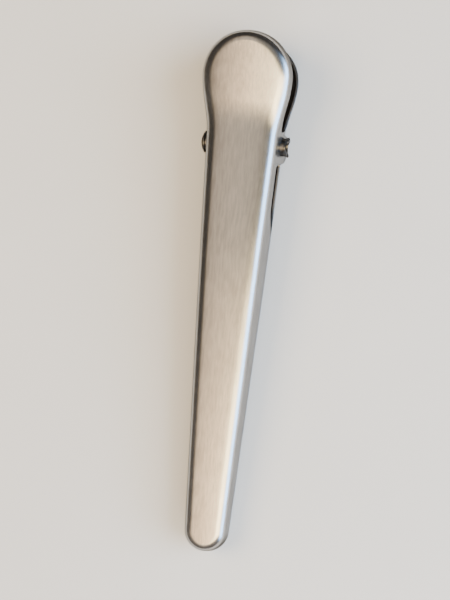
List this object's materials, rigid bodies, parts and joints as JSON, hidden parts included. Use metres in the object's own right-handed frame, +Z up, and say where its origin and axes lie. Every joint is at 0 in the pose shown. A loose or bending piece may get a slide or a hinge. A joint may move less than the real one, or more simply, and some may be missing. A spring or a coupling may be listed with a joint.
{
  "type": "bag clip",
  "caption": "Long tapered steel spring clip: two pressed channel shells hinged on a rivet near the round thumb end, held shut by a torsion spring.",
  "frame": {"origin": "middle of the clip's box at the level of the surface that it lies on", "axes": "+X across the clip along the rivet, towards the rivet's open tail; +Y along the clip towards the round thumb end; +Z up, from the back shell to the front shell"},
  "size_m": [0.0262, 0.1502, 0.0242],
  "materials": {
    "brushed_shell": "fine lengthwise brushed stainless steel, satin",
    "rivet_steel": "plain drawn steel, slightly dark",
    "spring_steel": "drawn spring wire, dark grey"
  },
  "bodies": {
    "back_half": {"back_shell": "brushed_shell", "torsion_spring": "spring_steel"},
    "front_half": {"front_shell": "brushed_shell", "pivot_rivet": "rivet_steel"}
  },
  "joints": [
    {"name": "jaw_opening", "type": "hinge", "parent": "back_half", "child": "front_half", "pos_m": [0, 0.04326, 0.0107], "axis": [-1, 0, 0], "range_deg": [0, 22], "stiffness_Nm_per_rad": 0.37, "springref_deg": -42.97, "deforming": ["torsion_spring"]}
  ]
}
